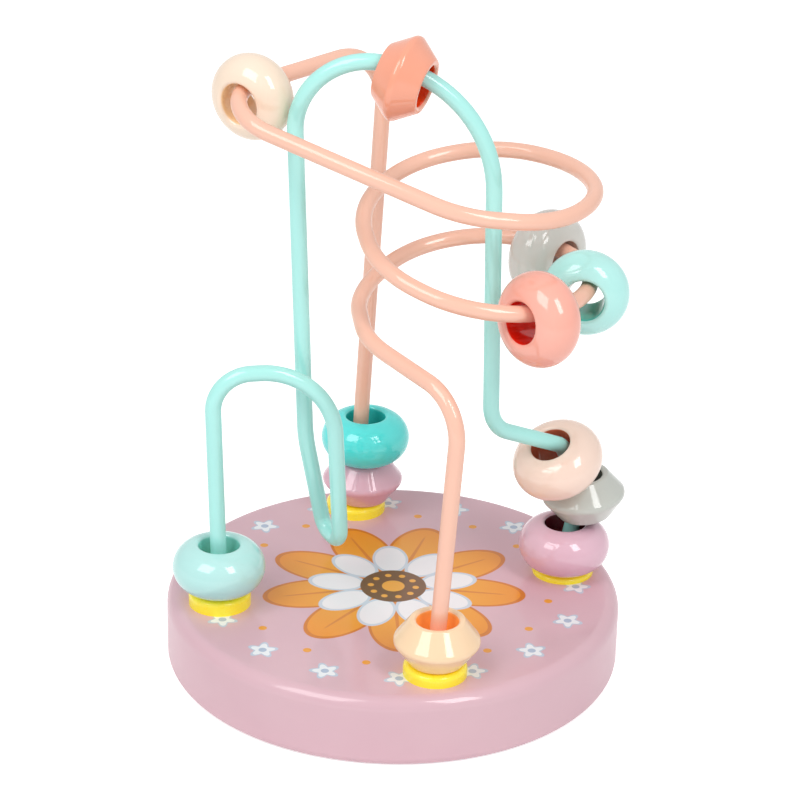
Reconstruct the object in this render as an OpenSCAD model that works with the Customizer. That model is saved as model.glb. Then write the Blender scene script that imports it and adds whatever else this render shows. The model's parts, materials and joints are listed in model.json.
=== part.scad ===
// Tabletop bead maze: a lacquered wooden disc carries two bent, coated
// steel wires, and twelve turned wooden beads run along the wires.
// Millimetres. The origin is the middle of the disc's underside, +Z is up,
// the mint wire stands along X and the coil's front leg is on -Y.

/* [Base disc] */
// Diameter of the wooden disc
base_d = 100; // [92:1:120]
// Thickness of the disc
base_t = 16; // [14:0.5:22]
// Rounding of the top edge
base_top_r = 3; // [1:0.5:4]
// Rounding of the bottom edge
base_bottom_r = 2; // [1:0.5:4]

/* [Foot plugs] */
// Diameter of the circle that the four wire ends stand on
foot_circle_d = 78; // [76:0.5:80]
// Diameter of a plug and of its drilled seat
plug_d = 13.6; // [10:0.2:15]
// Depth of the drilled seat in the disc
plug_seat = 9; // [7:0.5:11]
// Rounding of a plug's top edge
plug_edge_r = 1.1; // [0.5:0.1:2]
// How far the left plug stands proud of the disc
left_proud = 3.2; // [2:0.1:5]
// How far the front plug stands proud of the disc
front_proud = 2.6; // [2:0.1:5]
// How far the right plug stands proud of the disc
right_proud = 1.4; // [1.2:0.1:2]
// How far the back plug stands proud of the disc
back_proud = 2.6; // [2:0.1:5]

/* [Wires] */
// Diameter of the coated wire
wire_d = 3.5; // [3:0.1:3.8]
// Length of wire that is held inside a plug
wire_held = 9; // [6:0.5:10]
// Height of the mint wire's tall arch above the disc
tall_arch_h = 123; // [115:1:130]
// Height of the mint wire's left arch above the disc
left_arch_h = 54.5; // [50:0.5:60]
// Height of the hairpin's lower bend above the disc
hairpin_h = 14; // [12:0.5:18]
// Distance between the two legs of the hairpin
hairpin_w = 8.2; // [8:0.1:9]
// Height of the peach wire's top run above the disc
top_run_h = 115; // [112:0.5:117]
// Height of the front leg's shoulder above the disc
front_leg_h = 62; // [58:0.5:64]

/* [Coil] */
// Radius of the coil's centre line
coil_r = 24; // [23:0.1:25]
// Drop from one turn of the coil to the next
coil_pitch = 20; // [18:0.1:21]
// Height of the upper turn above the disc
coil_h = 95; // [92:0.5:97]

/* [Wire bends] */
// Bend radius at the left arch's outer corner
left_corner_r = 8.5; // [6:0.5:10]
// Bend radius at the left arch's inner shoulder
left_shoulder_r = 15.5; // [10:0.5:18]
// Bend radius of the hairpin
hairpin_r = 3.4; // [3:0.1:3.6]
// Bend radius where the tall post straightens
post_bend_r = 44; // [30:1:60]
// Bend radius at the tall arch's left corner
tall_corner_r = 15.5; // [12:0.5:16]
// Bend radius of the tall arch's long shoulder
tall_shoulder_r = 27.5; // [25:0.5:28]
// Bend radius at the foot of the right post
right_bend_r = 8; // [5:0.5:10]
// Bend radius where the wire drops into the right stack
stack_bend_r = 4.5; // [3.5:0.1:5.5]
// Bend radius inside the right stack
stack_knee_r = 8.5; // [6:0.5:12]
// Bend radius at the top of the back post
back_corner_r = 14.5; // [9:0.5:15]
// Bend radius of the cream bead's corner
ramp_corner_r = 11; // [9:0.5:12]
// Bend radius where the coil leaves for the front leg
coil_exit_r = 20; // [14:0.5:22]
// Bend radius at the front leg's shoulder
front_bend_r = 11; // [8:0.5:14]
// Slight set of a wire just above its plug
foot_set_r = 30; // [20:1:40]

/* [Beads] */
// Diameter of a large round bead
bead_d = 20.2; // [18.6:0.1:20.6]
// Diameter of a small round bead
small_bead_d = 18.6; // [17:0.1:19.4]
// Length of a round bead along its bore
bead_h = 11; // [10:0.1:11.4]
// Diameter of a double-cone bead at its ridge
bicone_d = 18.4; // [16:0.1:19.2]
// Length of a double-cone bead along its bore
bicone_h = 10; // [9:0.1:10.4]
// Diameter of a double-cone bead's flat ends
bicone_end_d = 11.6; // [11:0.1:13]
// Rounding of a double-cone bead's ridge
ridge_r = 1.3; // [0.6:0.1:2]
// Diameter of a bead's bore
bore_d = 8.8; // [8.6:0.1:9.6]
// Rounding of the bore's mouth
lip_r = 0.6; // [0.3:0.1:0.9]

/* [Hidden] */
$fn = 72;
// Clearance between a resting bead and what it rests on
seat_gap = 0.3;
// Clearance between a hanging bead's bore and its wire
hang_gap = 0.4;
// Room between the two lower beads of the right stack
nest_gap = 1.6;
// Overrun of cuts
overrun = 0.5;
// A straight run is this much slimmer than the bends and laps into them
run_slim = 0.06;
run_lap = 0.3;

fr = foot_circle_d / 2;
base_r = base_d / 2;
wire_r = wire_d / 2;
bore_r = bore_d / 2;
hang = bore_r - wire_r - hang_gap;
side_slack = bore_r - wire_r;

// Corner points of the coil lie on an eight-sided polygon round its circle
coil_sides = 8;
coil_half = 180 / coil_sides;
coil_corner_r = coil_r / cos(coil_half);
coil_at_shares = [0.4, -0.1];
coil_c = [for (s = coil_at_shares) s * fr];
// Share of a turn's drop that is left at each corner of its sloping side
coil_slope_shares = [0.87, 0.65, 0.36, 0.13];
// Share of a turn's drop by which the first corner stands above the flat side
coil_entry_share = 0.15;
coil_z1 = base_t + coil_h;
coil_z2 = coil_z1 - coil_pitch;

function coil_point(deg, z) = [
    coil_c[0] + coil_corner_r * cos(deg),
    coil_c[1] + coil_corner_r * sin(deg),
    z
];
function coil_flat(z) = [
    for (k = [-2:1]) coil_point((2 * k + 1) * coil_half, z)
];
function coil_slope(z, first, last) = [
    for (k = [first:last])
        coil_point(90 + (2 * k + 1) * coil_half, z - coil_pitch * (1 - coil_slope_shares[k]))
];

// Places of single corners as shares of the foot circle's radius
left_corner_share = -1.04;
left_shoulder_shares = [-0.39, -0.092];
hairpin_shares = [-0.36, 0];
hairpin_turn = 104;
post_bend_shares = [-0.5, 0.09];
tall_corner_shares = [-0.6, 0.04];
tall_shoulder_shares = [0.418, -0.279];
right_post_shares = [0.458, -0.294];
back_corner_shares = [0.097, 0.846];
ramp_corner_shares = [-1.1, 0.1];
front_corner_share = 0.095;
coil_exit_shares = [-0.27, -0.37];
// Heights as shares of the height that they belong to
post_bend_share = 0.3;
tall_corner_share = 1.035;
tall_shoulder_share = 0.961;
shoulder_lift_share = 1.02;
ramp_corner_share = 0.994;
coil_exit_share = 0.42;
right_run_drop_share = 0.518;
set_lift_share = 0.45;

left_top = base_t + left_proud;
front_top = base_t + front_proud;
right_top = base_t + right_proud;
back_top = base_t + back_proud;

// Heights of the right stack, bead on bead. The leaning beads nest into each other.
stack_step_share = 0.966;
stack1_z = right_top + seat_gap + bead_h / 2;
stack2_z = stack1_z + bead_h / 2 + nest_gap + bicone_h / 2;
stack3_z = stack2_z + stack_step_share * (bicone_h + bead_h) / 2;
stack_lean2 = -7;
stack_lean3 = -26;
stack_tip3 = 13.5;
// Sideways places of the stack's beads, as shares of the slack in a bore
stack1_shares = [-0.06, -0.23];
stack2_shares = [1.44, -0.18];
stack3_shares = [-1.265, -1.19];
stack1_c = [fr + stack1_shares[0] * side_slack, stack1_shares[1] * side_slack, stack1_z];
stack2_c = [fr + stack2_shares[0] * side_slack, stack2_shares[1] * side_slack, stack2_z];
stack3_c = [fr + stack3_shares[0] * side_slack, stack3_shares[1] * side_slack, stack3_z];
stack_knee_shares = [1.355, 0.147, 0.077];
stack_top_shares = [-1.04, -1.43, 0.349];
stack_knee = [
    fr + stack_knee_shares[0] * side_slack, stack_knee_shares[1] * side_slack,
    stack2_z + stack_knee_shares[2] * bicone_h
];
stack_top = [
    fr + stack_top_shares[0] * side_slack, stack_top_shares[1] * side_slack,
    stack3_z + stack_top_shares[2] * bead_h
];

// Two points of a straight wire end: inside its plug and just above it
function foot_end(p, top) = [
    [p[0], p[1], top - wire_held],
    [p[0], p[1], top + set_lift_share * wire_d]
];

hairpin_z = base_t + hairpin_h;
hairpin_leg = hairpin_w / 2 * [cos(hairpin_turn), sin(hairpin_turn)];
hairpin_c = hairpin_shares * fr;
right_low_z = stack_top[2] + (stack_top[0] - right_post_shares[0] * fr) * right_run_drop_share;

left_end = foot_end([-fr, 0], left_top);
right_end = foot_end([fr, 0], right_top);
back_end = foot_end([0, fr], back_top);
front_end = foot_end([0, -fr], front_top);

mint_route = concat(left_end, [
    [left_corner_share * fr, 0, base_t + left_arch_h],
    [left_shoulder_shares[0] * fr, left_shoulder_shares[1] * fr,
        base_t + left_arch_h * shoulder_lift_share],
    [hairpin_c[0] - hairpin_leg[0], hairpin_c[1] - hairpin_leg[1], hairpin_z],
    [hairpin_c[0] + hairpin_leg[0], hairpin_c[1] + hairpin_leg[1], hairpin_z],
    [post_bend_shares[0] * fr, post_bend_shares[1] * fr, base_t + post_bend_share * tall_arch_h],
    [tall_corner_shares[0] * fr, tall_corner_shares[1] * fr,
        base_t + tall_corner_share * tall_arch_h],
    [tall_shoulder_shares[0] * fr, tall_shoulder_shares[1] * fr,
        base_t + tall_shoulder_share * tall_arch_h],
    [right_post_shares[0] * fr, right_post_shares[1] * fr, right_low_z],
    stack_top,
    stack_knee
], [right_end[1], right_end[0]]);
mint_radii = [
    0, foot_set_r, left_corner_r, left_shoulder_r, hairpin_r, hairpin_r, post_bend_r,
    tall_corner_r, tall_shoulder_r, right_bend_r, stack_bend_r, stack_knee_r, foot_set_r, 0
];

top_run_z = base_t + top_run_h;
coil_entry = coil_point(270 - coil_half, coil_z1 + coil_entry_share * coil_pitch);
coil_exit = [
    coil_exit_shares[0] * fr, coil_exit_shares[1] * fr,
    coil_z2 - coil_pitch * coil_exit_share
];
peach_route = concat(back_end, [
    [back_corner_shares[0] * fr, back_corner_shares[1] * fr, top_run_z],
    [ramp_corner_shares[0] * fr, ramp_corner_shares[1] * fr,
        base_t + top_run_h * ramp_corner_share],
    coil_entry
], coil_flat(coil_z1), coil_slope(coil_z1, 0, 3), coil_flat(coil_z2), coil_slope(coil_z2, 0, 1), [
    coil_exit,
    [front_corner_share * fr, -fr, base_t + front_leg_h]
], [front_end[1], front_end[0]]);
peach_radii = concat(
    [0, foot_set_r, back_corner_r, ramp_corner_r],
    [for (k = [1:15]) coil_r],
    [coil_exit_r, front_bend_r, foot_set_r, 0]
);

// Vectors along a bent route
function unit(v) = v / norm(v);
function way(p, i) = unit(p[i + 1] - p[i]);
function turn(p, i) = acos(max(-1, min(1, way(p, i - 1) * way(p, i))));
function is_bend(p, i) = i > 0 && i < len(p) - 1;
function want(p, r, i) = is_bend(p, i) ? r[i] * tan(turn(p, i) / 2) : 0;
// A bend gives way where its run is too short for both of its ends
run_fill_share = 0.985;
function run_fit(p, r, i) =
    let (need = want(p, r, i) + want(p, r, i + 1), room = norm(p[i + 1] - p[i]) * run_fill_share)
    need > room ? room / need : 1;
function bend_r(p, r, i) = r[i] * min(run_fit(p, r, i - 1), run_fit(p, r, i));
function setback(p, r, i) = is_bend(p, i) ? bend_r(p, r, i) * tan(turn(p, i) / 2) : 0;
function run_start(p, r, i) = p[i] + way(p, i) * setback(p, r, i);
function run_end(p, r, i) = p[i + 1] - way(p, i) * setback(p, r, i + 1);
function bend_mid(p, r, i) =
    p[i] + unit(way(p, i) - way(p, i - 1)) * bend_r(p, r, i) / cos(turn(p, i) / 2);
function bend_axis(p, i) = unit(cross(way(p, i - 1), way(p, i)));

// Points of the centre line, and the least gap between stretches of a wire
// that lie half a turn of the coil or more apart
gap_steps = 6;
half_turn_corners = coil_sides / 2;
function run_point(p, r, i, share) =
    run_start(p, r, i) * (1 - share) + run_end(p, r, i) * share;
function bend_point(p, r, i, share) =
    let (
        c = bend_mid(p, r, i), x = run_end(p, r, i - 1) - c,
        y = cross(bend_axis(p, i), x), deg = turn(p, i) * share
    )
    c + x * cos(deg) + y * sin(deg);
function stretch(p, r, i) = concat(
    [for (k = [0:gap_steps]) run_point(p, r, i, k / gap_steps)],
    is_bend(p, i + 1) ? [for (k = [1:gap_steps]) bend_point(p, r, i + 1, k / gap_steps)] : []
);
function self_gap(p, r) =
    let (s = [for (i = [0:len(p) - 2]) stretch(p, r, i)], last = len(s) - 1)
    min([
        for (i = [0:last - half_turn_corners], j = [i + half_turn_corners:last], a = s[i], b = s[j])
            norm(a - b)
    ]) - wire_d;

// Moves an upright shape so that its Z axis points along a direction
module aim(c, d) {
    z = unit(d);
    side = abs(z[2]) > cos(coil_half) ? [1, 0, 0] : [0, 0, 1];
    x = unit(cross(side, z));
    y = cross(z, x);
    multmatrix([
        [x[0], y[0], z[0], c[0]],
        [x[1], y[1], z[1], c[1]],
        [x[2], y[2], z[2], c[2]]
    ]) children();
}

module wire_run(a, b, lap_a, lap_b) {
    d = unit(b - a);
    aim(a - d * lap_a, d)
        cylinder(d = wire_d - run_slim, h = norm(b - a) + lap_a + lap_b);
}

module wire_bend(p, r, i) {
    c = bend_mid(p, r, i);
    x = unit(run_end(p, r, i - 1) - c);
    z = bend_axis(p, i);
    y = cross(z, x);
    multmatrix([
        [x[0], y[0], z[0], c[0]],
        [x[1], y[1], z[1], c[1]],
        [x[2], y[2], z[2], c[2]]
    ])
        rotate_extrude(angle = turn(p, i))
            translate([bend_r(p, r, i), 0])
                circle(d = wire_d);
}

module bent_wire(p, r) {
    last = len(p) - 1;
    for (i = [1:last - 1]) wire_bend(p, r, i);
    for (i = [0:last - 1])
        wire_run(
            run_start(p, r, i), run_end(p, r, i),
            i == 0 ? 0 : run_lap, i == last - 1 ? 0 : run_lap
        );
}

// Quarter-round cut for a profile's corner, opening along +x and +y
module corner_cut(r) {
    difference() {
        translate([-overrun, -overrun]) square(r + overrun);
        translate([r, r]) circle(r = r);
    }
}

module base_profile() {
    difference() {
        square([base_r, base_t]);
        translate([base_r, base_t]) rotate(180) corner_cut(base_top_r);
        translate([base_r, 0]) mirror([1, 0]) corner_cut(base_bottom_r);
    }
}

// Turned bead with a full, rounded side
module round_bead(d) {
    tube_r = bead_h / 2;
    rotate_extrude()
        difference() {
            translate([d / 2 - tube_r, 0]) circle(r = tube_r);
            translate([-d, -bead_h]) square([d + bore_r, 2 * bead_h]);
            for (s = [0, 1])
                mirror([0, s])
                    translate([bore_r, -tube_r]) corner_cut(lip_r);
        }
}

// Turned bead of two cones that meet at a soft ridge
module bicone_bead() {
    end_r = bicone_end_d / 2;
    o = bicone_d / 2 - ridge_r;
    e = [end_r - o, bicone_h / 2];
    slope = atan2(e[1], e[0]) - acos(ridge_r / norm(e));
    t = [o + ridge_r * cos(slope), ridge_r * sin(slope)];
    rotate_extrude()
        difference() {
            union() {
                polygon([
                    [0, -bicone_h / 2], [end_r, -bicone_h / 2], [t[0], -t[1]],
                    [t[0], t[1]], [end_r, bicone_h / 2], [0, bicone_h / 2]
                ]);
                translate([o, 0]) circle(r = ridge_r);
            }
            translate([-overrun, -bicone_h]) square([overrun + bore_r, 2 * bicone_h]);
            for (s = [0, 1])
                mirror([0, s])
                    translate([bore_r, -bicone_h / 2]) corner_cut(lip_r);
        }
}

// Plug with a rounded top, drilled for the wire's end
module plug(at, proud) {
    h = plug_seat + proud;
    translate([at[0], at[1], base_t - plug_seat])
        difference() {
            rotate_extrude()
                difference() {
                    square([plug_d / 2, h]);
                    translate([plug_d / 2, h]) rotate(180) corner_cut(plug_edge_r);
                }
            translate([0, 0, h - wire_held]) cylinder(d = wire_d, h = wire_held + overrun);
        }
}

// Point of a leg at a height, so that a bead on it stays round its wire
function on_leg(p, i, z) =
    p[i] + (p[i + 1] - p[i]) * (z - p[i][2]) / (p[i + 1][2] - p[i][2]);

left_bead_z = left_top + seat_gap + bead_h / 2;
front_bead_z = front_top + seat_gap + bicone_h / 2;
back_low_z = back_top + seat_gap + bicone_h / 2;
back_high_z = back_low_z + bicone_h / 2 + seat_gap + bead_h / 2;
left_bead_c = on_leg(mint_route, 1, left_bead_z);
front_bead_c = on_leg(peach_route, len(peach_route) - 3, front_bead_z);
// The two beads at the back lean on the same side of their bores
back_shift_share = 0.5;
back_shift = [back_shift_share * side_slack, 0, 0];
back_low_c = on_leg(peach_route, 1, back_low_z) + back_shift;
back_high_c = on_leg(peach_route, 1, back_high_z) + back_shift;

// The arch bead hangs where the tall arch's long shoulder begins, turned a
// little to the front as far as its wide bore lets it
arch_i = 8;
arch_c = bend_mid(mint_route, mint_radii, arch_i);
arch_axis = bend_axis(mint_route, arch_i);
arch_x = unit(run_end(mint_route, mint_radii, arch_i - 1) - arch_c);
arch_y = cross(arch_axis, arch_x);
arch_deg = 7;
arch_lift = 5;
arch_turn = 16;
arch_hang_share = 0.83;
arch_out = cos(arch_deg) * arch_x + sin(arch_deg) * arch_y;
arch_along = cos(arch_deg - arch_lift) * arch_y - sin(arch_deg - arch_lift) * arch_x;
arch_bead_c = arch_c + (bend_r(mint_route, mint_radii, arch_i) - arch_hang_share * hang) * arch_out;
arch_bead_way = cos(arch_turn) * arch_along - sin(arch_turn) * arch_axis;

// The corner bead hangs on the first part of the bend between run and ramp
corner_i = 3;
corner_mid = bend_mid(peach_route, peach_radii, corner_i);
corner_axis = bend_axis(peach_route, corner_i);
corner_deg = 12;
corner_x = unit(run_end(peach_route, peach_radii, corner_i - 1) - corner_mid);
corner_y = cross(corner_axis, corner_x);
corner_out = cos(corner_deg) * corner_x + sin(corner_deg) * corner_y;
corner_way = cos(corner_deg) * corner_y - sin(corner_deg) * corner_x;
corner_hang_shares = [0.6, 0.8];
corner_bead_c = corner_mid
    + (bend_r(peach_route, peach_radii, corner_i) - corner_hang_shares[0] * hang) * corner_out
    - corner_hang_shares[1] * hang * corner_axis;

// Beads on the level side of the coil's lower turn. The front one is where
// the turn levels out, so it is tipped with the wire and hangs less deep.
front_coil_deg = -71;
right_coil_deg = -22;
rear_coil_deg = 34;
front_coil_tip = 5;
front_coil_turn = 8;
coil_inset_share = 0.35;
front_coil_hang_share = 0.62;
coil_hang_share = 0.85;
function coil_bead_c(deg, share) = [
    coil_c[0] + (coil_r - coil_inset_share * hang) * cos(deg),
    coil_c[1] + (coil_r - coil_inset_share * hang) * sin(deg),
    coil_z2 - share * hang
];
function coil_way(deg, tip) = [-sin(deg) * cos(tip), cos(deg) * cos(tip), -sin(tip)];

echo(left_slide = way(mint_route, 1));
echo(back_slide = way(peach_route, 1));
echo(front_slide = -way(peach_route, len(peach_route) - 3));
echo(corner_mid = corner_mid, corner_axis = corner_axis, corner_turn = turn(peach_route, corner_i));
echo(right_top_slide = -way(mint_route, 10));
echo(coil_axis = coil_c, coil_low = coil_z2);
echo(arch_mid = arch_c, arch_axis = arch_axis, arch_r = bend_r(mint_route, mint_radii, arch_i));
echo(stack2 = stack2_c, stack3 = stack3_c, stack1 = stack1_c);
echo(beads = [left_bead_c, front_bead_c, back_low_c, back_high_c, arch_bead_c, corner_bead_c]);
echo(coil_beads = [
    coil_bead_c(front_coil_deg, front_coil_hang_share),
    coil_bead_c(right_coil_deg, coil_hang_share),
    coil_bead_c(rear_coil_deg, coil_hang_share)
]);
echo(mint_bends = [
    for (i = [1:len(mint_route) - 2]) [mint_radii[i], bend_r(mint_route, mint_radii, i)]
]);
echo(peach_bends = [
    for (i = [1:len(peach_route) - 2]) [peach_radii[i], bend_r(peach_route, peach_radii, i)]
]);
echo(coil_wire_gap_to_itself = self_gap(peach_route, peach_radii));
echo(mint_route = mint_route);
echo(peach_route = peach_route);

module base() {
    color([0.87, 0.72, 0.78])
        difference() {
            rotate_extrude() base_profile();
            for (a = [0:3])
                rotate([0, 0, 90 * a])
                    translate([fr, 0, base_t - plug_seat])
                        cylinder(d = plug_d, h = plug_seat + overrun);
        }
}

module left_plug() { color([1, 0.9, 0.2]) plug([-fr, 0], left_proud); }
module front_plug() { color([1, 0.9, 0.2]) plug([0, -fr], front_proud); }
module right_plug() { color([1, 0.9, 0.2]) plug([fr, 0], right_proud); }
module back_plug() { color([1, 0.9, 0.2]) plug([0, fr], back_proud); }

module mint_wire() { color([0.69, 0.95, 0.91]) bent_wire(mint_route, mint_radii); }
module peach_wire() { color([1, 0.78, 0.67]) bent_wire(peach_route, peach_radii); }

module left_round_bead() { color([0.73, 0.93, 0.91]) translate(left_bead_c) round_bead(bead_d); }
module front_bicone() { color([1, 0.84, 0.67]) translate(front_bead_c) bicone_bead(); }
module back_bicone() { color([0.87, 0.7, 0.8]) translate(back_low_c) bicone_bead(); }
module back_round_bead() { color([0.37, 0.88, 0.85]) translate(back_high_c) round_bead(bead_d); }

module right_round_bead() { color([0.87, 0.7, 0.8]) translate(stack1_c) round_bead(bead_d); }
module right_bicone() {
    color([0.79, 0.8, 0.78])
        translate(stack2_c) rotate([0, stack_lean2, 0]) bicone_bead();
}
module right_top_bead() {
    color([0.98, 0.87, 0.81])
        translate(stack3_c) rotate([stack_tip3, stack_lean3, 0]) round_bead(bead_d);
}

module arch_bicone() { color([0.98, 0.65, 0.55]) aim(arch_bead_c, arch_bead_way) bicone_bead(); }
module corner_round_bead() {
    color([0.99, 0.92, 0.84]) aim(corner_bead_c, corner_way) round_bead(small_bead_d);
}

module coil_front_bead() {
    color([1, 0.66, 0.62])
        aim(
            coil_bead_c(front_coil_deg, front_coil_hang_share),
            coil_way(front_coil_deg + front_coil_turn, front_coil_tip)
        )
            round_bead(bead_d);
}
module coil_right_bead() {
    color([0.6, 0.9, 0.85])
        aim(coil_bead_c(right_coil_deg, coil_hang_share), coil_way(right_coil_deg, 0))
            round_bead(small_bead_d);
}
module coil_rear_bead() {
    color([0.8, 0.8, 0.8])
        aim(coil_bead_c(rear_coil_deg, coil_hang_share), coil_way(rear_coil_deg, 0))
            round_bead(bead_d);
}

base();
left_plug();
front_plug();
right_plug();
back_plug();
mint_wire();
peach_wire();
left_round_bead();
front_bicone();
back_bicone();
back_round_bead();
right_round_bead();
right_bicone();
right_top_bead();
arch_bicone();
corner_round_bead();
coil_front_bead();
coil_right_bead();
coil_rear_bead();
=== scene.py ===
# %% [markdown]
# # A tabletop bead maze
# The real toy is a turned wooden disc with two bent, coated wires standing in it, and lacquered
# wooden beads that run along the wires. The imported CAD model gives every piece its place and
# size, so this lesson only has to give each piece its finished surface: finer meshes, lacquer,
# powder coat and a print. Nothing here moves or resizes the object.

# %% Load the frame
import json
import math

import bmesh
import bpy
import numpy as np
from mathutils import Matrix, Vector


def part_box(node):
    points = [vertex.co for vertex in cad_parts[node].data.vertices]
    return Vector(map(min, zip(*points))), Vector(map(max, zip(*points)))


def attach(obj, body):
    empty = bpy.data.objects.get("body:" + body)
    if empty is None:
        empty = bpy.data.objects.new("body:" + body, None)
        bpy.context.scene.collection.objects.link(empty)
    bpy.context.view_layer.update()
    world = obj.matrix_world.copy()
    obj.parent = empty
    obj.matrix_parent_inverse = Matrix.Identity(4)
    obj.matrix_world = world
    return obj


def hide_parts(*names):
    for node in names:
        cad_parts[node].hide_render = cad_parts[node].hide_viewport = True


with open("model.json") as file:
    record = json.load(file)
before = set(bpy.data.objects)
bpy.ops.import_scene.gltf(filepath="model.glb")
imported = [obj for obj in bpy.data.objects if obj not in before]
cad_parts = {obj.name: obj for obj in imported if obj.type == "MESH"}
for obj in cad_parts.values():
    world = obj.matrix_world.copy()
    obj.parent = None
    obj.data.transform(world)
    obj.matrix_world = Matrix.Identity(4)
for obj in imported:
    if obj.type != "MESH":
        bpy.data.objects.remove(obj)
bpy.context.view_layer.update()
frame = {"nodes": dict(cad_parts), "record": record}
MM = 0.001
UP = Vector((0, 0, 1))
nodes = frame["nodes"]
record = frame["record"]
bodies = record["behaviour"]["bodies"]
body_of = {node: body for body, members in bodies.items() for node in members}

# %% [markdown]
# ## Shader sums as plain Python
# A material is a tree of nodes, and a sum such as `1 - mask` is a Math node. Wiring those by hand
# hides the idea, so a small class wraps a number socket and gives it the usual operators. Each
# operator adds one Math node. A second class holds a tree and adds every other kind of node, and a
# third is one material with its Principled shader.

# %% Numbers in a shader tree
class Number:
    """A number socket that can be used in plain arithmetic."""

    def __init__(self, wiring, socket):
        self.wiring = wiring
        self.socket = socket

    def math(self, operation, *others):
        values = dict(enumerate((self,) + others))
        return self.wiring.node("ShaderNodeMath", {"operation": operation}, values)

    def __add__(self, other):
        return self.math("ADD", other)

    def __radd__(self, other):
        return self.math("ADD", other)

    def __sub__(self, other):
        return self.math("SUBTRACT", other)

    def __rsub__(self, other):
        return self.wiring.node("ShaderNodeMath", {"operation": "SUBTRACT"}, {0: other, 1: self})

    def __mul__(self, other):
        return self.math("MULTIPLY", other)

    def __rmul__(self, other):
        return self.math("MULTIPLY", other)

    def __truediv__(self, other):
        return self.math("DIVIDE", other)

    def within(self, limit, soft):
        """1 below the limit, 0 above it, with an edge that is soft wide."""
        settings = {"interpolation_type": "SMOOTHSTEP"}
        values = {
            "Value": self, "From Min": limit - soft, "From Max": limit,
            "To Min": 1.0, "To Max": 0.0,
        }
        return self.wiring.node("ShaderNodeMapRange", settings, values)


# %% A shader tree
class Wiring:
    """A shader tree and short ways to add nodes to it."""

    def __init__(self, tree):
        self.tree = tree

    def put(self, socket, value):
        """Link a number to a socket, or set the socket to a constant."""
        if isinstance(value, Number):
            self.tree.links.new(value.socket, socket)
        elif isinstance(value, tuple) and len(value) == 3 and len(socket.default_value) == 4:
            socket.default_value = value + (1.0,)
        else:
            socket.default_value = value

    def node(self, kind, settings=None, sockets=None, out=0):
        """Add a node: its settings first, then the values or links of its sockets."""
        made = self.tree.nodes.new(kind)
        for name, value in (settings or {}).items():
            setattr(made, name, value)
        for name, value in (sockets or {}).items():
            self.put(made.inputs[name], value)
        return Number(self, made.outputs[out])

    def blend(self, share, low, high):
        """A colour that goes from low to high as share goes from 0 to 1."""
        # A Mix node has sockets for each kind of value. The colours are inputs 6 and 7, output 2.
        settings = {"data_type": "RGBA", "clamp_factor": True}
        return self.node("ShaderNodeMix", settings, {0: share, 6: low, 7: high}, out=2)

    def seen(self):
        """1 for a ray that shows the surroundings: from the camera, a gloss or through glass."""
        camera, gloss, glass = [
            self.node("ShaderNodeLightPath", out=ray)
            for ray in ("Is Camera Ray", "Is Glossy Ray", "Is Transmission Ray")
        ]
        return camera.math("MAXIMUM", gloss).math("MAXIMUM", glass)


# %% One finish
class Finish(Wiring):
    """One material and its Principled shader."""

    def __init__(self, name, constants):
        self.material = bpy.data.materials.new(name)
        self.material.use_nodes = True
        super().__init__(self.material.node_tree)
        self.shader = self.tree.nodes["Principled BSDF"]
        for socket, value in constants.items():
            self.set(socket, value)

    def set(self, socket, value):
        self.put(self.shader.inputs[socket], value)

    def place(self):
        """Object coordinates, which are metres in the part's own frame."""
        return self.node("ShaderNodeTexCoord", out="Object")

    def noise(self, per_mm, detail=2.0):
        """Even noise around 0.5, with so many features to the millimetre."""
        sockets = {"Vector": self.place(), "Scale": per_mm / MM, "Detail": detail}
        return self.node("ShaderNodeTexNoise", None, sockets)

    def attribute(self, name):
        return self.node("ShaderNodeAttribute", {"attribute_name": name}, out="Fac")

    def bump(self, height, depth_mm):
        """Let a height from 0 to 1 stand for a relief of that many millimetres."""
        sockets = {"Height": height, "Distance": depth_mm * MM, "Strength": 1.0}
        self.set("Normal", self.node("ShaderNodeBump", None, sockets))


# %% [markdown]
# Colours are easiest to choose as they look on a screen, from 0 to 255. A shader works with light,
# which is not in step with those numbers, so the usual screen curve turns one into the other.

# %% Colours
SCREEN_WHITE = 255
SCREEN_MIDDLE = 128
BLACK = (0.0, 0.0, 0.0)


def linear(channel):
    """One channel of a screen colour as the amount of light that shaders use."""
    share = channel / SCREEN_WHITE
    return ((share + 0.055) / 1.055) ** 2.4 if share > 0.04045 else share / 12.92


def shade(red, green, blue):
    """A colour as it looks on screen, as a shader's linear colour."""
    return linear(red), linear(green), linear(blue)


print("a middle grey on screen is", round(linear(SCREEN_MIDDLE), 3), "of white's light")

# %% [markdown]
# ## Lacquer on turned wood
# The beads are dipped in a thick, glossy lacquer. It is smooth but not dead flat: a faint orange
# peel bends the reflections, the colour is a little uneven, and the turning marks of the lathe
# still show through. Inside the bore the colour is darker and deeper, and that is painted shade.
# In the front bead's bore a faint emission is painted light, which makes the bore glow.
# The mesh carries two attributes for this: `bore`, which is 1 inside the bore, and
# `along`, the distance along the axis.
# The gloss is a thin coat of high index, because a thick one of low index would draw a white line
# round every bead.

# %% Lacquer
LACQUER_GLOSS = {
    "Coat Weight": 0.34, "Coat Roughness": 0.075, "Coat IOR": 2.3, "Specular IOR Level": 0.12,
}
CLOUDS_PER_MM = 0.12
CLOUD_DARK = 0.96
CLOUD_PALE = 0.08
SHEEN = 0.14
SHEEN_CHANGE = 0.1
SHEEN_PER_MM = 0.5
LATHE_MARKS_PER_MM = 1.6
PEEL_PER_MM = 0.2
PEEL_SHARE = 0.8
PEEL_DEPTH = 0.0025
SMOOTH = 1.0


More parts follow.
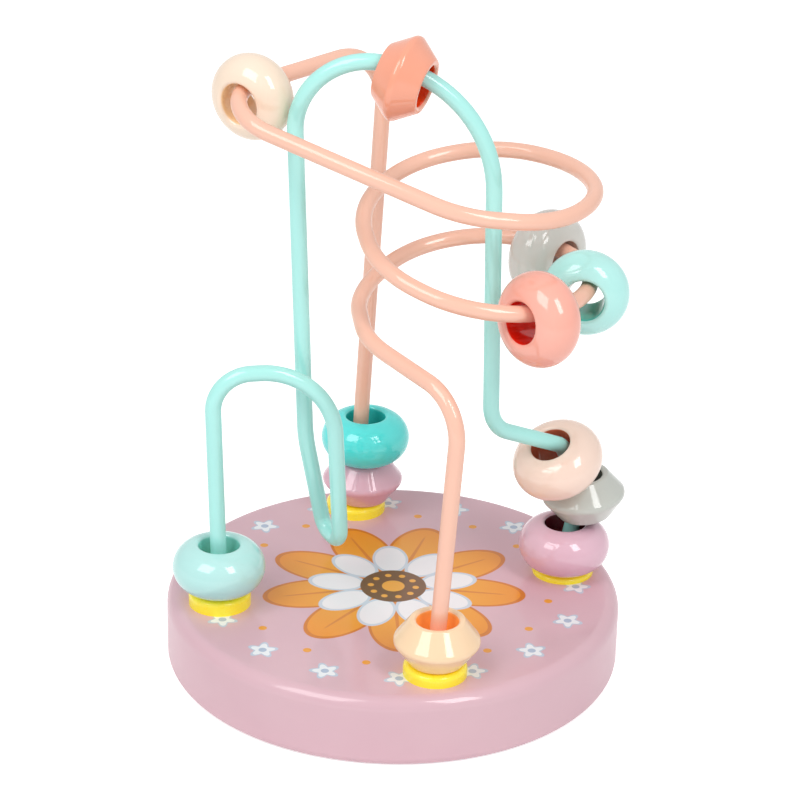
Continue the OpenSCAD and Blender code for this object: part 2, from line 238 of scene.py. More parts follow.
def lacquer(name, colour, painted_bore_shade, painted_glow):
    """Lacquer of one colour, with a darker one inside the bore as painted shade, and a painted glow
    there if one is given.
    """
    finish = Finish(name, LACQUER_GLOSS)
    darker = tuple(c * CLOUD_DARK for c in colour)
    paler = tuple(c + (1 - c) * CLOUD_PALE for c in colour)
    body = finish.blend(finish.noise(CLOUDS_PER_MM), darker, paler)
    bore = finish.attribute("bore")
    # Painted shade: inside the bore the colour turns to the darker bore colour.
    finish.set("Base Color", finish.blend(bore, body, painted_bore_shade))
    # Painted light: where a glow is given, the bore gives off a faint light of its own colour.
    if painted_glow:
        finish.set("Emission Color", finish.blend(bore, BLACK, painted_bore_shade))
        finish.set("Emission Strength", painted_glow)
    finish.set("Roughness", SHEEN + SHEEN_CHANGE * finish.noise(SHEEN_PER_MM))
    lathe = {"W": finish.attribute("along"), "Scale": LATHE_MARKS_PER_MM}
    marks = finish.node("ShaderNodeTexNoise", {"noise_dimensions": "1D"}, lathe)
    peel = finish.noise(PEEL_PER_MM, SMOOTH)
    finish.bump(PEEL_SHARE * peel + (1 - PEEL_SHARE) * marks, PEEL_DEPTH)
    return finish.material


# %% Mix a lacquer for each bead: the colour outside, then the one in the bore, which is painted shade
# The second colour of each pair is painted shade, drawn inside the bore.
BEAD_COLOURS = {
    "left_round_bead": ((183, 236, 232), (160, 232, 222)),
    "front_bicone": ((255, 218, 174), (255, 176, 94)),
    "back_bicone": ((234, 180, 198), (160, 90, 110)),
    "back_round_bead": ((62, 240, 236), (54, 216, 214)),
    "right_round_bead": ((230, 184, 202), (110, 36, 48)),
    "right_bicone": ((200, 204, 196), (110, 112, 106)),
    "right_top_bead": ((255, 224, 206), (206, 104, 74)),
    "arch_bicone": ((250, 160, 126), (255, 75, 25)),
    "corner_round_bead": ((252, 228, 204), (255, 219, 170)),
    "coil_front_bead": ((255, 175, 155), (235, 36, 16)),
    "coil_right_bead": ((182, 246, 240), (86, 210, 196)),
    "coil_rear_bead": ((212, 210, 203), (176, 146, 132)),
}
# The front bead's bore glow is painted light.
PAINTED_BORE_GLOW = {"front_bicone": 0.16}
bead_lacquer = {
    node: lacquer("lacquer_" + node, shade(*face), shade(*bore), PAINTED_BORE_GLOW.get(node, 0.0))
    for node, (face, bore) in BEAD_COLOURS.items()
}
print("mixed", len(bead_lacquer), "bead lacquers")

# %% [markdown]
# ## Turning
# Base, plugs and beads are bodies of revolution, so one outline and one turn make each of them.
# Blender's own cylinders and rings with bevels would come close, but an outline holds every radius
# at once. It is a polygon whose corners are rounded by arcs, which is how a turner would draw it.
# Each turned piece is measured on its CAD node, so its place, axis and size come from the frame.

# %% Outlines with rounded corners
CORNER_STEPS = 10


def arc(middle, radius, start, end, steps):
    """Points of an arc, from one angle to another."""
    angles = [start + (end - start) * k / steps for k in range(steps + 1)]
    return [
        Vector((middle[0] + radius * math.cos(a), middle[1] + radius * math.sin(a)))
        for a in angles
    ]


def rounded(points, radii, steps=CORNER_STEPS):
    """Replace each corner of a closed polygon by an arc of its radius."""
    outline = []
    for i, (corner, radius) in enumerate(zip(points, radii)):
        corner = Vector(corner)
        if radius == 0:
            outline.append(corner)
            continue
        before = (Vector(points[i - 1]) - corner).normalized()
        after = (Vector(points[(i + 1) % len(points)]) - corner).normalized()
        half = before.angle(after) / 2
        middle = corner + (before + after).normalized() * radius / math.sin(half)
        start = corner + before * radius / math.tan(half) - middle
        turn_by = math.pi - 2 * half
        turn_by = turn_by if before.x * after.y < before.y * after.x else -turn_by
        angle = math.atan2(start.y, start.x)
        outline += arc(middle, radius, angle, angle + turn_by, steps)
    return outline


# %% [markdown]
# Smooth shading blends the normals of neighbouring faces, so a long flat face beside a rounded
# edge would look domed. A second ring of points close to each end of a straight run holds it flat,
# as a modeller's support loop does.

# %% Support loops
STRAIGHT = 1.0 * MM
HOLD = 0.12 * MM


def held(outline):
    """Add a point near each end of every straight run, off the axis."""
    points = []
    for here, after in zip(outline, outline[1:] + outline[:1]):
        points.append(here)
        run = after - here
        if run.length > STRAIGHT:
            step = run.normalized() * HOLD
            points += [p for p in (here + step, after - step) if p.x > 2 * HOLD]
    return points


# %% [markdown]
# A bead may lie at any angle on its wire. Its surface spreads alike in two directions and
# differently in the third, and that third one is its axis. The eigenvectors of the spread find it.

# %% Measuring a turned CAD piece
def turned_frame(node):
    """Centre, axis, greatest radius and half length of a CAD piece of revolution."""
    mesh = nodes[node].data
    mesh.calc_loop_triangles()
    points = np.array([v.co for v in mesh.vertices])
    corners = points[np.array([t.vertices for t in mesh.loop_triangles])]
    one_side = corners[:, 1] - corners[:, 0]
    other_side = corners[:, 2] - corners[:, 0]
    area = np.linalg.norm(np.cross(one_side, other_side), axis=1)
    centre = (points.min(0) + points.max(0)) / 2
    spread = corners.mean(1) - centre
    sizes, ways = np.linalg.eigh((spread * area[:, None]).T @ spread)
    axis = ways[:, 0] if sizes[1] - sizes[0] > sizes[2] - sizes[1] else ways[:, 2]
    axis = axis if axis[2] >= 0 else -axis
    along = (points - centre) @ axis
    across = np.linalg.norm(points - centre - np.outer(along, axis), axis=1)
    return Vector(centre), Vector(axis), across.max(), abs(along).max()


# %% Turning an outline into a mesh
BORE_MARGIN = 1.02


def turn(name, outline, bore_r, centre, axis, material, steps):
    """Turn a closed outline of (radius, height) points about an axis into one smooth piece."""
    outline = held(outline)
    lean = axis.to_track_quat("Z", "X")
    vertices = []
    for k in range(steps):
        angle = 2 * math.pi * k / steps
        spoke = Vector((math.cos(angle), math.sin(angle), 0))
        vertices += [centre + lean @ (spoke * p.x + UP * p.y) for p in outline]
    count = len(outline)
    faces = []
    for k in range(steps):
        here, there = k * count, (k + 1) % steps * count
        for i in range(count):
            after = (i + 1) % count
            if outline[i].x + outline[after].x > 0:
                faces.append((here + i, there + i, there + after, here + after))
    mesh = bpy.data.meshes.new(name)
    mesh.from_pydata(vertices, [], faces)
    bore = mesh.attributes.new("bore", "FLOAT", "POINT")
    bore.data.foreach_set("value", [float(p.x < bore_r * BORE_MARGIN) for p in outline] * steps)
    along = mesh.attributes.new("along", "FLOAT", "POINT")
    along.data.foreach_set("value", [p.y / MM for p in outline] * steps)
    return finished(mesh, name, material)


# %% Finishing a mesh and putting it in place
SHARP = math.radians(35)
WELD = 0.001 * MM


def finished(mesh, name, material):
    """Close the seams and poles, turn the faces outwards, shade smooth and link the piece."""
    work = bmesh.new()
    work.from_mesh(mesh)
    bmesh.ops.remove_doubles(work, verts=work.verts, dist=WELD)
    bmesh.ops.recalc_face_normals(work, faces=work.faces)
    work.to_mesh(mesh)
    work.free()
    mesh.shade_smooth()
    mesh.set_sharp_from_angle(angle=SHARP)
    mesh.materials.clear()
    mesh.materials.append(material)
    piece = bpy.data.objects.new(name, mesh)
    bpy.context.scene.collection.objects.link(piece)
    return piece


def stand_for(piece, node):
    """The finished piece takes the CAD node's place and body, and the CAD node is hidden."""
    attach(piece, body_of[node])
    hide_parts(node)


# %% [markdown]
# ## Beads
# There are two kinds. A round bead is a ring of round section, and a double-cone bead is two
# cones that meet at a soft ridge. Both have a wide bore with a rounded mouth, so that the wire's
# bends pass through. A sphere with a hole cut by a Boolean would leave a hard, uneven mouth, so the
# bore is part of the outline. The ring's section is one circle, which a small lip arc joins to it.

# %% Outline of a round bead
BORE_R = 4.4 * MM
LIP_R = 0.8 * MM
LIP_STEPS = 8
RING_STEPS = 48
BORE_RINGS = (0.8, 0.4, 0, -0.4, -0.8)


def round_bead_outline(radius, half):
    middle = radius - half
    lip = BORE_R + LIP_R
    lip_z = math.sqrt((half - LIP_R) ** 2 - (lip - middle) ** 2)
    meet = math.atan2(lip_z, lip - middle)
    bore = [Vector((BORE_R, lip_z * share)) for share in BORE_RINGS]
    lower = arc((lip, -lip_z), LIP_R, -math.pi, -meet, LIP_STEPS)
    side = arc((middle, 0), half, -meet, meet, RING_STEPS)
    upper = arc((lip, lip_z), LIP_R, meet, math.pi, LIP_STEPS)
    return bore + lower + side[1:-1] + upper


# %% Outline of a double-cone bead
CONE_END_R = 5.8 * MM
CONE_EDGE_R = 0.5 * MM
RIDGE_R = 1.3 * MM


def bicone_outline(radius, half):
    ridge = radius - RIDGE_R
    reach = Vector((CONE_END_R - ridge, half))
    lean = math.atan2(reach.y, reach.x) - math.acos(RIDGE_R / reach.length)
    touch = Vector((ridge + RIDGE_R * math.cos(lean), RIDGE_R * math.sin(lean)))
    tip = touch.x + (touch.x - CONE_END_R) * touch.y / (half - touch.y)
    points = [
        (BORE_R, -half), (CONE_END_R, -half), (tip, 0), (CONE_END_R, half), (BORE_R, half),
    ]
    return rounded(points, [LIP_R, CONE_EDGE_R, RIDGE_R, CONE_EDGE_R, LIP_R])


# %% Turn the beads
BEAD_STEPS = 96
for node, coat in bead_lacquer.items():
    centre, axis, radius, half = turned_frame(node)
    draw = bicone_outline if "bicone" in node else round_bead_outline
    bead = turn(node + "_turned", draw(radius, half), BORE_R, centre, axis, coat, BEAD_STEPS)
    stand_for(bead, node)
    print(node, "radius", round(radius / MM, 2), "half length", round(half / MM, 2))

# %% [markdown]
# ## Foot plugs
# Each wire ends in a moulded yellow plug that is pressed into the disc. Only its top shows, with
# a soft edge, and the wire comes out of its middle. The plastic is glossy, with the slight
# flow marks of moulding. A small constant emission is painted light: it makes the plugs glow
# a little, brighter than the lamps alone would light them.

# %% Plug plastic
# The emission strength set here is painted light, a faint glow on the plugs.
PLUG_GLOSS = {"Coat Weight": 0.3, "Coat Roughness": 0.1, "Emission Strength": 0.12}
PLUG_PAINTED_GLOW = shade(255, 224, 20)
PLUG_DARK = shade(252, 230, 40)
PLUG_PALE = shade(255, 242, 66)
PLUG_SHEEN = 0.22
PLUG_SHEEN_CHANGE = 0.12
PLUG_SHEEN_PER_MM = 0.3
FLOW_PER_MM = 0.15
FLOW_RELIEF_PER_MM = 0.2
FLOW_DEPTH = 0.006


def plug_plastic():
    finish = Finish("yellow_plug_plastic", PLUG_GLOSS)
    # Painted light: the plug glows in its own yellow.
    finish.set("Emission Color", PLUG_PAINTED_GLOW)
    flow = finish.noise(FLOW_PER_MM, SMOOTH)
    finish.set("Base Color", finish.blend(flow, PLUG_DARK, PLUG_PALE))
    uneven = finish.noise(PLUG_SHEEN_PER_MM, SMOOTH)
    finish.set("Roughness", PLUG_SHEEN + PLUG_SHEEN_CHANGE * uneven)
    finish.bump(finish.noise(FLOW_RELIEF_PER_MM, SMOOTH), FLOW_DEPTH)
    return finish.material


# %% Turn the plugs
WIRE_R = 1.75 * MM
PLUG_EDGE_R = 1.1 * MM
SMALL_EDGE_R = 0.3 * MM
PLUG_STEPS = 64
PLUGS = ("left_plug", "front_plug", "right_plug", "back_plug")


def seat_of(node):
    """Middle of a plug's foot, its radius and its height."""
    low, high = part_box(node)
    foot = Vector(((low.x + high.x) / 2, (low.y + high.y) / 2, low.z))
    return foot, (high.x - low.x) / 2, high.z - low.z


yellow = plug_plastic()
for node in PLUGS:
    foot, radius, tall = seat_of(node)
    corners = [(WIRE_R, 0), (radius, 0), (radius, tall), (WIRE_R, tall)]
    outline = rounded(corners, [0, SMALL_EDGE_R, PLUG_EDGE_R, SMALL_EDGE_R])
    plug = turn(node + "_moulded", outline, 0, foot, UP, yellow, PLUG_STEPS)
    stand_for(plug, node)

# %% [markdown]
# ## The bent wires
# A wire bender works with straight runs and bends of a set radius, so each wire here is a route
# of corner points with a radius at every corner. A curve with handles could be drawn over the wire
# by eye, but its bends would have no true radius. Geometry Nodes turn the route into a tube: Fillet
# Curve lays the bends, and Curve to Mesh sweeps a circle along the result. The corners repeat the
# route of the CAD wires, and the coil's corners lie on an eight-sided polygon round its circle.

# %% A node tree that bends and coats a wire
WIRE_INPUTS = {
    "Route": "Geometry",
    "Wire radius": "Float",
    "Sides": "Int",
    "Bend steps": "Int",
    "Coat": "Material",
}


def wire_tree():
    """A route with a radius at each corner goes in, and a coated tube comes out."""
    tree = bpy.data.node_groups.new("bent_wire", "GeometryNodeTree")
    for name, kind in WIRE_INPUTS.items():
        tree.interface.new_socket(name, in_out="INPUT", socket_type="NodeSocket" + kind)
    tree.interface.new_socket("Wire", in_out="OUTPUT", socket_type="NodeSocketGeometry")

    def add(kind, settings=None, **links):
        node = tree.nodes.new(kind)
        for name, value in (settings or {}).items():
            setattr(node, name, value)
        for name, source in links.items():
            tree.links.new(source, node.inputs[name.replace("_", " ")])
        return node

    given = add("NodeGroupInput").outputs
    corner_r = add("GeometryNodeInputNamedAttribute")
    corner_r.inputs["Name"].default_value = "bend_radius"
    route = add("GeometryNodeMeshToCurve", Mesh=given["Route"])
    bends = add(
        "GeometryNodeFilletCurve", {"mode": "POLY"}, Curve=route.outputs["Curve"],
        Radius=corner_r.outputs["Attribute"], Count=given["Bend steps"],
    )
    section = add(
        "GeometryNodeCurvePrimitiveCircle", Radius=given["Wire radius"], Resolution=given["Sides"],
    )
    tube = add(
        "GeometryNodeCurveToMesh", Curve=bends.outputs["Curve"],
        Profile_Curve=section.outputs["Curve"],
    )
    tube.inputs["Fill Caps"].default_value = True
    smooth = add("GeometryNodeSetShadeSmooth", Geometry=tube.outputs["Mesh"])
    whole = add("GeometryNodeRealizeInstances", Geometry=smooth.outputs["Geometry"])
    coated = add(
        "GeometryNodeSetMaterial", Geometry=whole.outputs["Geometry"], Material=given["Coat"],
    )
    add("NodeGroupOutput", Wire=coated.outputs["Geometry"])
    return tree


# %% Bend one wire
WIRE_SIDES = 28
BEND_STEPS = 20


def bend_wire(name, corners, radii, coat, tree):
    """Run one route, in millimetres, through the tree and keep the tube as a plain mesh."""
    route = bpy.data.meshes.new(name + "_route")
    edges = [(i, i + 1) for i in range(len(corners) - 1)]
    route.from_pydata([Vector(p) * MM for p in corners], edges, [])
    kept = route.attributes.new("bend_radius", "FLOAT", "POINT")
    kept.data.foreach_set("value", [r * MM for r in radii])
    carrier = bpy.data.objects.new(name + "_route", route)
    bpy.context.scene.collection.objects.link(carrier)
    modifier = carrier.modifiers.new("bend", "NODES")
    modifier.node_group = tree
    sizes = {"Wire radius": WIRE_R, "Sides": WIRE_SIDES, "Bend steps": BEND_STEPS, "Coat": coat}
    for item in tree.interface.items_tree:
        if item.name in sizes:
            modifier[item.identifier] = sizes[item.name]
    bent = carrier.evaluated_get(bpy.context.evaluated_depsgraph_get())
    mesh = bpy.data.meshes.new_from_object(bent)
    bpy.data.objects.remove(carrier)
    wire = finished(mesh, name, coat)
    print(name, "has", len(corners), "corners and", len(mesh.polygons), "faces")
    return wire


# %% [markdown]
# The coating on the wires is a baked powder coat. It is glossy, a little uneven in colour, and has
# a low, even ripple. The ripple is far smaller than a face of the mesh, so a bump makes it.

# %% Powder coat
POWDER_GLOSS = {
    "Coat Weight": 0.3, "Coat Roughness": 0.06, "Coat IOR": 2.5, "Specular IOR Level": 0.04,
}
POWDER_CLOUDS_PER_MM = 0.08
POWDER_DARK = 0.93
POWDER_SHEEN = 0.24
POWDER_SHEEN_CHANGE = 0.12
POWDER_SHEEN_PER_MM = 0.3
RIPPLE_PER_MM = 0.35
RIPPLE_DEPTH = 0.006
MINT = shade(178, 245, 238)
PEACH = shade(253, 198, 174)


def powder_coat(name, colour):
    finish = Finish(name, POWDER_GLOSS)
    clouds = finish.noise(POWDER_CLOUDS_PER_MM)
    darker = tuple(c * POWDER_DARK for c in colour)
    finish.set("Base Color", finish.blend(clouds, darker, colour))
    uneven = finish.noise(POWDER_SHEEN_PER_MM)
    finish.set("Roughness", POWDER_SHEEN + POWDER_SHEEN_CHANGE * uneven)
    finish.bump(finish.noise(RIPPLE_PER_MM, SMOOTH), RIPPLE_DEPTH)
    return finish.material


mint_coat = powder_coat("mint_powder_coat", MINT)
peach_coat = powder_coat("peach_powder_coat", PEACH)
print("mixed", mint_coat.name, "and", peach_coat.name)

# %% The mint wire's route: low arch, hairpin, tall arch, right foot
FOOT = 39.0
HAIRPIN_LOW = 30.0
mint_corners = [
    (-FOOT, 0, 10.2), (-FOOT, 0, 20.775), (-1.04 * FOOT, 0, 70.5),
    (-0.39 * FOOT, -0.092 * FOOT, 71.59),
    (-13.05, -3.98, HAIRPIN_LOW), (-15.03, 3.98, HAIRPIN_LOW),
    (-0.5 * FOOT, 0.09 * FOOT, 52.9), (-0.6 * FOOT, 0.04 * FOOT, 143.3),
    (0.418 * FOOT, -0.279 * FOOT, 134.2), (0.458 * FOOT, -0.294 * FOOT, 58.8),
    (36.24, -3.79, 49.28), (42.59, 0.39, 36.07), (FOOT, 0, 18.975), (FOOT, 0, 8.4),
]
mint_radii = [0, 30, 8.5, 15.5, 3.4, 3.4, 44, 15.5, 27.5, 8, 4.5, 8.5, 30, 0]

# %% The coil's corners: level on one side, dropping on the other
COIL_R = 24.0
COIL_SIDES = 8
COIL_MIDDLE = (0.4 * FOOT, -0.1 * FOOT)
PITCH = 20.0
UPPER_TURN = 111.0
LOWER_TURN = UPPER_TURN - PITCH
LEVEL_DEGREES = (-67.5, -22.5, 22.5, 67.5)
SLOPE_DEGREES = (112.5, 157.5, 202.5, 247.5)
SLOPE_LEFT = (0.87, 0.65, 0.36, 0.13)


def coil_corner(degrees, height):
    reach = COIL_R / math.cos(math.pi / COIL_SIDES)
    angle = math.radians(degrees)
    x = COIL_MIDDLE[0] + reach * math.cos(angle)
    y = COIL_MIDDLE[1] + reach * math.sin(angle)
    return (x, y, height)


def level_side(height):
    return [coil_corner(degrees, height) for degrees in LEVEL_DEGREES]


def sloping_side(height):
    return [
        coil_corner(degrees, height - PITCH * (1 - left))
        for degrees, left in zip(SLOPE_DEGREES, SLOPE_LEFT)
    ]


# %% The peach wire's route: back post, top run, ramp, coil, front leg
COIL_ENTRY_RISE = 0.15
COIL_EXIT_DROP = 0.42
LAST_SLOPE_CORNERS = 2
COIL_BEND_R = 0.978 * COIL_R
coil_corners = [coil_corner(SLOPE_DEGREES[-1], UPPER_TURN + COIL_ENTRY_RISE * PITCH)]
coil_corners += level_side(UPPER_TURN) + sloping_side(UPPER_TURN)
coil_corners += level_side(LOWER_TURN) + sloping_side(LOWER_TURN)[:LAST_SLOPE_CORNERS]
peach_corners = [
    (0, FOOT, 9.6), (0, FOOT, 20.175), (0.097 * FOOT, 0.846 * FOOT, 131.0),
    (-1.1 * FOOT, 0.1 * FOOT, 130.31),
]
peach_corners += coil_corners
peach_corners += [
    (-0.27 * FOOT, -0.37 * FOOT, LOWER_TURN - COIL_EXIT_DROP * PITCH),
    (0.095 * FOOT, -FOOT, 78.0), (0, -FOOT, 20.175), (0, -FOOT, 9.6),
]
peach_radii = [0, 30, 14.5, 11] + [COIL_BEND_R] * len(coil_corners) + [20, 11, 30, 0]

# %% Bend both wires
bending = wire_tree()
mint_wire = bend_wire("mint_wire_bent", mint_corners, mint_radii, mint_coat, bending)
stand_for(mint_wire, "mint_wire")
peach_wire = bend_wire("peach_wire_bent", peach_corners, peach_radii, peach_coat, bending)
stand_for(peach_wire, "peach_wire")

# %% [markdown]
# ## The disc
# The base is a turned disc of hardwood under a satin lilac-pink lacquer, with a soft edge all
# round and four drilled seats for the plugs. A flower is printed on its top. The print is flat ink,
# so it belongs in the material. A picture file could carry it, but it would blur close up. Here
# each motif is a mask that is worked out from the distance and the angle round the middle, and
# repeats by folding that angle.

# %% Disc lacquer that takes ink
DISC_GLOSS = {
    "Coat Weight": 0.3, "Coat Roughness": 0.1, "Coat IOR": 2.2, "Specular IOR Level": 0.12,
}
DISC_DARK = shade(215, 173, 185)
DISC_PALE = shade(224, 187, 196)
DISC_CLOUDS_PER_MM = 0.05
DISC_CLOUD_DETAIL = 3.0
BASE_TOP = 16.0
PRINT_DEPTH = 0.2


class PrintedLacquer(Finish):
    """The disc's lacquer, with inks laid one over another on its top. Sizes are millimetres."""

    def __init__(self, name, constants):
        super().__init__(name, constants)
        split = {"Vector": self.place()}
        x, y, z = [
            self.node("ShaderNodeSeparateXYZ", None, split, out=way) / MM for way in "XYZ"
        ]
        self.distance = (x * x + y * y).math("SQRT")
        self.angle = y.math("ARCTAN2", x)
        self.on_top = 1 - z.within(BASE_TOP - PRINT_DEPTH, PRINT_DEPTH)
        clouds = self.noise(DISC_CLOUDS_PER_MM, DISC_CLOUD_DETAIL)
        self.colour = self.blend(clouds, DISC_DARK, DISC_PALE)

    def ink(self, mask, tint):
        """Lay one ink over what is there."""
        self.colour = self.blend(mask * self.on_top, self.colour, tint)

    def rimmed(self, shape, soft, rim, inner, fill):
        """Ink a shape whose edge is at 1 in the rim's colour, and its inner part in another."""
        self.ink(shape.within(1.0, soft), rim)
        self.ink(shape.within(inner, soft), fill)

    def folded(self, count, shift=0.0):
        """Fold the disc into equal wedges. Gives a wedge's two coordinates, out and across."""
        wedge = 2 * math.pi / count
        turned = (self.angle / wedge + shift + count).math("FRACT") - 0.5
        local = turned * wedge
        return self.distance * local.math("COSINE"), self.distance * local.math("SINE")


def oval(out, across, middle, half_long, half_wide):
    """Distance from an oval's middle, 1 on its edge."""
    x = (out - middle) / half_long
    y = across / half_wide
    return (x * x + y * y).math("SQRT")


# %% The big flower: orange petals, each with a vein
INK_EDGE = 0.16
BETWEEN = 0.5
PETALS = 9
PETAL_SIZE = {"middle": 18.2, "half_long": 11.4, "half_wide": 6.5}
PETAL_EDGE = INK_EDGE / 6
PETAL_INNER = 0.9
PETAL_RIM = shade(212, 122, 28)
PETAL_NEAR = shade(244, 172, 56)
PETAL_FAR = shade(238, 148, 32)
FADE_START = 8
FADE_LENGTH = 20
VEIN = shade(220, 132, 40)
VEIN_HALF = 0.42
VEIN_EDGE = 0.2
VEIN_TAPER = 0.02
VEIN_MIDDLE = 19
VEIN_END = 25.5
VEIN_FADE = 2.0


def orange_petals(disc):
    out, across = disc.folded(PETALS)
    petal = oval(out, across, **PETAL_SIZE)
    fade = disc.blend((out - FADE_START) / FADE_LENGTH, PETAL_NEAR, PETAL_FAR)
    disc.rimmed(petal, PETAL_EDGE, PETAL_RIM, PETAL_INNER, fade)
    vein = across.math("ABSOLUTE") + (out - VEIN_MIDDLE) * VEIN_TAPER
    disc.ink(vein.within(VEIN_HALF, VEIN_EDGE) * out.within(VEIN_END, VEIN_FADE), VEIN)


# %% Its white petals and its head of seeds
WHITE_PETAL_SIZE = {"middle": 12.6, "half_long": 6.6, "half_wide": 4.1}
WHITE_PETAL_EDGE = INK_EDGE / 4
WHITE_PETAL_INNER = 0.86
WHITE_PETAL_RIM = shade(208, 216, 228)
WHITE_PETAL = shade(244, 240, 243)
HEAD_R = 7.4
HEAD = shade(122, 82, 48)
SEEDS = 10
SEED_SIZE = {"middle": 5.0, "half_long": 0.8, "half_wide": 0.8}
SEED_EDGE = 0.2
SEED = shade(240, 170, 70)
HEART_R = 2.6


def white_petals(disc):
    out, across = disc.folded(PETALS, BETWEEN)
    petal = oval(out, across, **WHITE_PETAL_SIZE)
    disc.rimmed(petal, WHITE_PETAL_EDGE, WHITE_PETAL_RIM, WHITE_PETAL_INNER, WHITE_PETAL)


def seed_head(disc):
    disc.ink(disc.distance.within(HEAD_R, INK_EDGE), HEAD)
    out, across = disc.folded(SEEDS)
    disc.ink(oval(out, across, **SEED_SIZE).within(1.0, SEED_EDGE), SEED)
    disc.ink(disc.distance.within(HEART_R, INK_EDGE), SEED)


# %% Small blossoms and dots along the rim
BLOSSOMS = 16
BLOSSOM_OUT = 40.6
BLOSSOM_R = 2.75
BLOSSOM_WAVE = 0.75
BLOSSOM_PETALS = 5
BLOSSOM_EDGE = INK_EDGE / 3
BLOSSOM_INNER = 0.8
BLOSSOM_RIM = shade(196, 206, 222)
BLOSSOM_WHITE = shade(240, 242, 246)
BLOSSOM_HEART_R = 0.95
BLOSSOM_HEART = shade(178, 192, 214)
DOT_SIZE = {"middle": 34.6, "half_long": 1.0, "half_wide": 1.0}
DOT = shade(238, 160, 56)


def rim_blossoms(disc):
    out, across = disc.folded(BLOSSOMS)
    x = out - BLOSSOM_OUT
    distance = (x * x + across * across).math("SQRT")
    angle = across.math("ARCTAN2", x)
    scallop = BLOSSOM_R + BLOSSOM_WAVE * (angle * BLOSSOM_PETALS).math("COSINE")
    disc.rimmed(distance / scallop, BLOSSOM_EDGE, BLOSSOM_RIM, BLOSSOM_INNER, BLOSSOM_WHITE)
    disc.ink(distance.within(BLOSSOM_HEART_R, INK_EDGE), BLOSSOM_HEART)


def rim_dots(disc):
    out, across = disc.folded(BLOSSOMS, BETWEEN)
    disc.ink(oval(out, across, **DOT_SIZE).within(1.0, INK_EDGE), DOT)


# %% The whole print, under its gloss
DISC_SHEEN = 0.4
DISC_SHEEN_CHANGE = 0.12
DISC_SHEEN_PER_MM = 0.25
DISC_PEEL_PER_MM = 0.3
DISC_PEEL_DEPTH = 0.012


def printed_disc():
    disc = PrintedLacquer("printed_disc_lacquer", DISC_GLOSS)
    for motif in (orange_petals, white_petals, seed_head, rim_blossoms, rim_dots):
        motif(disc)
    disc.set("Base Color", disc.colour)
    uneven = disc.noise(DISC_SHEEN_PER_MM)
    disc.set("Roughness", DISC_SHEEN + DISC_SHEEN_CHANGE * uneven)
    disc.bump(disc.noise(DISC_PEEL_PER_MM, SMOOTH), DISC_PEEL_DEPTH)
    print("the print has", len(disc.tree.nodes), "nodes")
    return disc.material


# %% Turn the disc
DISC_TOP_R = 3 * MM
DISC_BOTTOM_R = 2 * MM
DISC_EDGE_STEPS = 12
DISC_STEPS = 192
low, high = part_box("base")
disc_r = (high.x - low.x) / 2
corners = [(0, low.z), (disc_r, low.z), (disc_r, high.z), (0, high.z)]
outline = rounded(corners, [0, DISC_BOTTOM_R, DISC_TOP_R, 0], DISC_EDGE_STEPS)
disc = turn("base_disc", outline, 0, Vector((0, 0, 0)), UP, printed_disc(), DISC_STEPS)
print("disc of", round(2 * disc_r / MM, 1), "mm")

# %% [markdown]
# A plug's seat is a round hole with a flat bottom, so a Boolean modifier takes four round drills
# out of the disc. The edges of the seats are marked sharp again afterwards, because the cut leaves
# the flat top and the wall of a hole sharing their corners.

# %% Drill its seats
def drill(disc):
    """Cut the four seats and keep the result as the disc's plain mesh."""
    cuts = []
    for node in PLUGS:
        foot, radius, tall = seat_of(node)
        corners = [Vector(p) for p in ((0, 0), (radius, 0), (radius, tall), (0, tall))]
        bit = turn(node + "_drill", corners, 0, foot, UP, disc.data.materials[0], PLUG_STEPS)
        cut = disc.modifiers.new(node, "BOOLEAN")
        cut.solver = "EXACT"
        cut.object = bit
        cuts.append(bit)
    drilled = disc.evaluated_get(bpy.context.evaluated_depsgraph_get())
    mesh = bpy.data.meshes.new_from_object(drilled)
    disc.modifiers.clear()
    disc.data = mesh
    mesh.set_sharp_from_angle(angle=SHARP)
    for bit in cuts:
        bpy.data.objects.remove(bit)
    print("drilled", len(cuts), "seats, disc has", len(mesh.polygons), "faces")


drill(disc)
stand_for(disc, "base")

# %% [markdown]
# ## Floor, light and camera
# The toy stands on a plain white floor between two large softboxes, one to each side and high up,
# which give every bead its pair of soft window highlights. A bare white floor would turn grey where
# the lamps are weak, so it also gives off light, but only to rays that show it: from the camera, a
# gloss or through glass. It looks white that way and still takes the object's shadow.

# %% Floor
FLOOR_HALF = 3.0
FLOOR_GLOSS = {"Roughness": 0.9, "Emission Strength": 1.0}
FLOOR_WHITE = shade(246, 246, 246)
FLOOR_GLOW = (0.55, 0.55, 0.55)


def white_floor():
    finish = Finish("white_floor", FLOOR_GLOSS)
    finish.set("Base Color", FLOOR_WHITE)
    finish.set("Emission Color", finish.blend(finish.seen(), BLACK, FLOOR_GLOW))
    return finish.material


floor_mesh = bpy.data.meshes.new("floor")
floor_corners = [
    (x * FLOOR_HALF, y * FLOOR_HALF, 0) for x, y in ((-1, -1), (1, -1), (1, 1), (-1, 1))
]
floor_mesh.from_pydata(floor_corners, [], [(0, 1, 2, 3)])
floor_mesh.materials.append(white_floor())
floor = bpy.data.objects.new("floor", floor_mesh)
bpy.context.scene.collection.objects.link(floor)
print("floor of", 2 * FLOOR_HALF, "m")

# %% Camera at the photograph's angle
CAMERA_AZIMUTH = math.radians(-13.7)
CAMERA_HEIGHT = math.radians(24.86)
CAMERA_ROLL = math.radians(1.38)
CAMERA_DISTANCE = 0.6465
CAMERA_SIDE = 0.5 * MM
CAMERA_TARGET_Z = 61.5 * MM
LENS = 135
SENSOR = 36


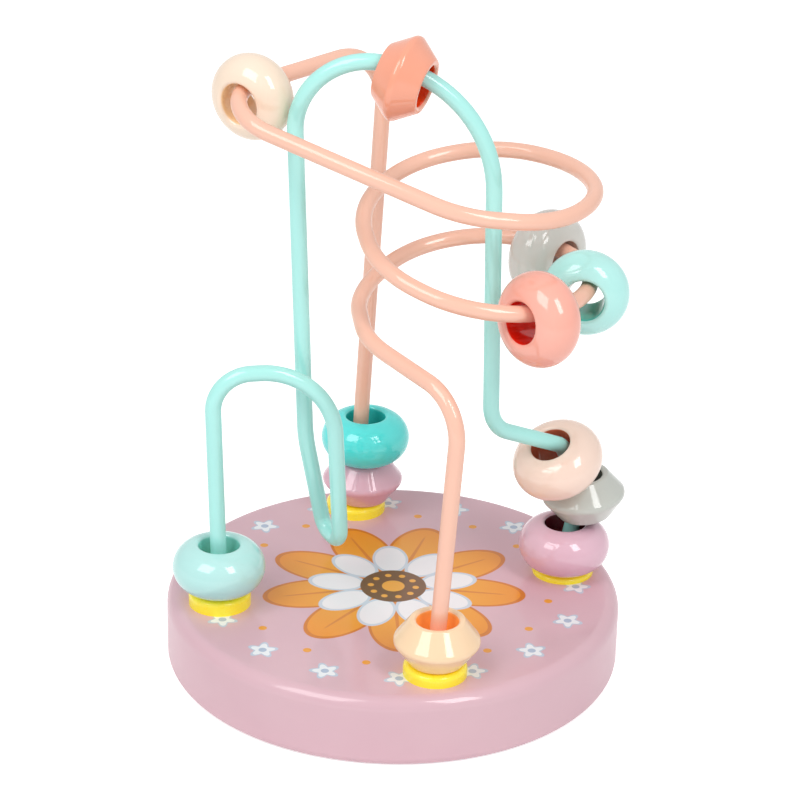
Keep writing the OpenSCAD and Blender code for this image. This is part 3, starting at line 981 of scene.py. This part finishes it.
def towards(azimuth, height):
    """Unit vector from the object towards a camera or a lamp."""
    flat = math.cos(height)
    return Vector((math.sin(azimuth) * flat, -math.cos(azimuth) * flat, math.sin(height)))


right = Vector((math.cos(CAMERA_AZIMUTH), math.sin(CAMERA_AZIMUTH), 0))
target = right * CAMERA_SIDE + UP * CAMERA_TARGET_Z
back = towards(CAMERA_AZIMUTH, CAMERA_HEIGHT)
lens = bpy.data.cameras.new("camera")
lens.lens = LENS
lens.sensor_width = SENSOR
camera = bpy.data.objects.new("camera", lens)
camera.location = target + back * CAMERA_DISTANCE
camera.rotation_euler = (-back).to_track_quat("-Z", "Y").to_euler()
camera.rotation_euler.rotate_axis("Z", CAMERA_ROLL)
bpy.context.scene.collection.objects.link(camera)
bpy.context.scene.camera = camera
print("camera at", [round(v, 3) for v in camera.location])

# %% Softboxes: degrees round from the camera and up, metres and watts
SOFTBOXES = {
    "left_softbox": {"side": -44, "height": 47, "size": (0.5, 0.52), "power": 3.1},
    "right_softbox": {"side": 38, "height": 45, "size": (0.26, 0.5), "power": 2.5},
}
SOFTBOX_DISTANCE = 0.9


def softbox(name, side, height, size, power):
    lamp = bpy.data.lights.new(name, "AREA")
    lamp.shape = "RECTANGLE"
    lamp.size, lamp.size_y = size
    lamp.energy = power
    box = bpy.data.objects.new(name, lamp)
    way = towards(CAMERA_AZIMUTH + math.radians(side), math.radians(height))
    box.location = target + way * SOFTBOX_DISTANCE
    box.rotation_euler = (-way).to_track_quat("-Z", "Y").to_euler()
    bpy.context.scene.collection.objects.link(box)
    print(name, "at", [round(v, 2) for v in box.location])


for name, values in SOFTBOXES.items():
    softbox(name, **values)

# %% Sky: half as bright on the object as it looks behind it
SKY = 0.5
sky = bpy.data.worlds.new("studio")
sky.use_nodes = True
background = sky.node_tree.nodes["Background"]
background.inputs["Color"].default_value = (1, 1, 1, 1)
studio = Wiring(sky.node_tree)
studio.put(background.inputs["Strength"], SKY + (1 - SKY) * studio.seen())
bpy.context.scene.world = sky
bpy.context.scene.view_settings.view_transform = "Standard"
print("sky of", SKY)
